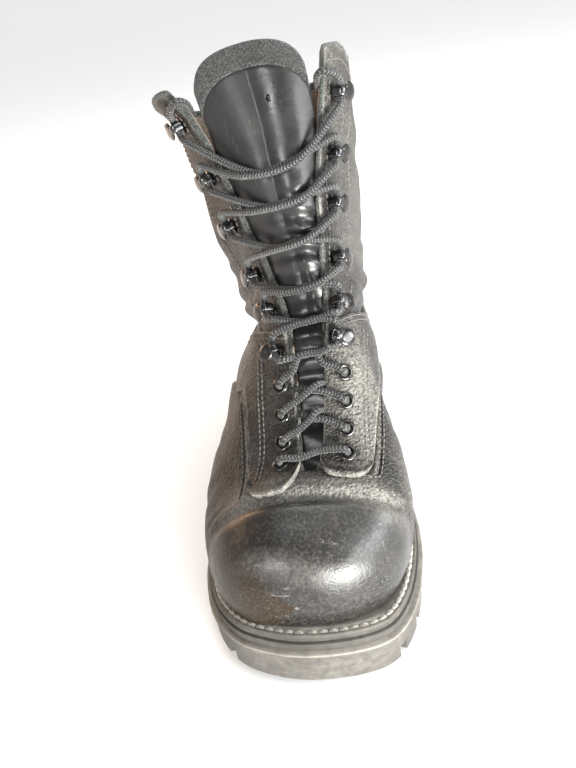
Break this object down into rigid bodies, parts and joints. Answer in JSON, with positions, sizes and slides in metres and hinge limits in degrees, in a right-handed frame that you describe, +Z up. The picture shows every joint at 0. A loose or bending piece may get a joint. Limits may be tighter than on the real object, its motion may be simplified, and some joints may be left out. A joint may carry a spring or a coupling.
{
  "type": "combat boot",
  "caption": "High laced combat boot in black leather for the right foot, with eyelets, speed hooks, a padded tongue and a welted lug sole.",
  "frame": {"origin": "on the ground under the middle of the boot's bounding box", "axes": "+Z up, -Y towards the toe, +X towards the inner side of the foot"},
  "size_m": [0.1122, 0.305, 0.2474],
  "materials": {
    "outsole_rubber": "matt, dusty",
    "welt_rubber": "matt, dusty",
    "insole_textile": "matt",
    "leather": "pebbled, half gloss",
    "smooth_leather": "smooth, glossy",
    "dark_metal": "glossy",
    "lace_cord": "braided, matt"
  },
  "bodies": {
    "root": {"outsole": "outsole_rubber", "midsole": "outsole_rubber", "welt": "welt_rubber", "insole": "insole_textile", "upper": "leather", "quarter_outer": "leather", "quarter_inner": "leather", "tongue": "smooth_leather", "eyelet_outer_1": "dark_metal", "eyelet_outer_2": "dark_metal", "eyelet_outer_3": "dark_metal", "eyelet_outer_4": "dark_metal", "eyelet_inner_1": "dark_metal", "eyelet_inner_2": "dark_metal", "eyelet_inner_3": "dark_metal", "eyelet_inner_4": "dark_metal", "hook_outer_1": "dark_metal", "hook_outer_2": "dark_metal", "hook_outer_3": "dark_metal", "hook_outer_4": "dark_metal", "hook_outer_5": "dark_metal", "hook_outer_6": "dark_metal", "hook_inner_1": "dark_metal", "hook_inner_2": "dark_metal", "hook_inner_3": "dark_metal", "hook_inner_4": "dark_metal", "hook_inner_5": "dark_metal", "hook_inner_6": "dark_metal", "lace_bar": "lace_cord", "lace_crossing_1": "lace_cord", "lace_crossing_2": "lace_cord", "lace_crossing_3": "lace_cord", "lace_crossing_4": "lace_cord", "lace_crossing_5": "lace_cord", "lace_crossing_6": "lace_cord", "lace_crossing_7": "lace_cord", "lace_crossing_8": "lace_cord"}
  },
  "joints": []
}
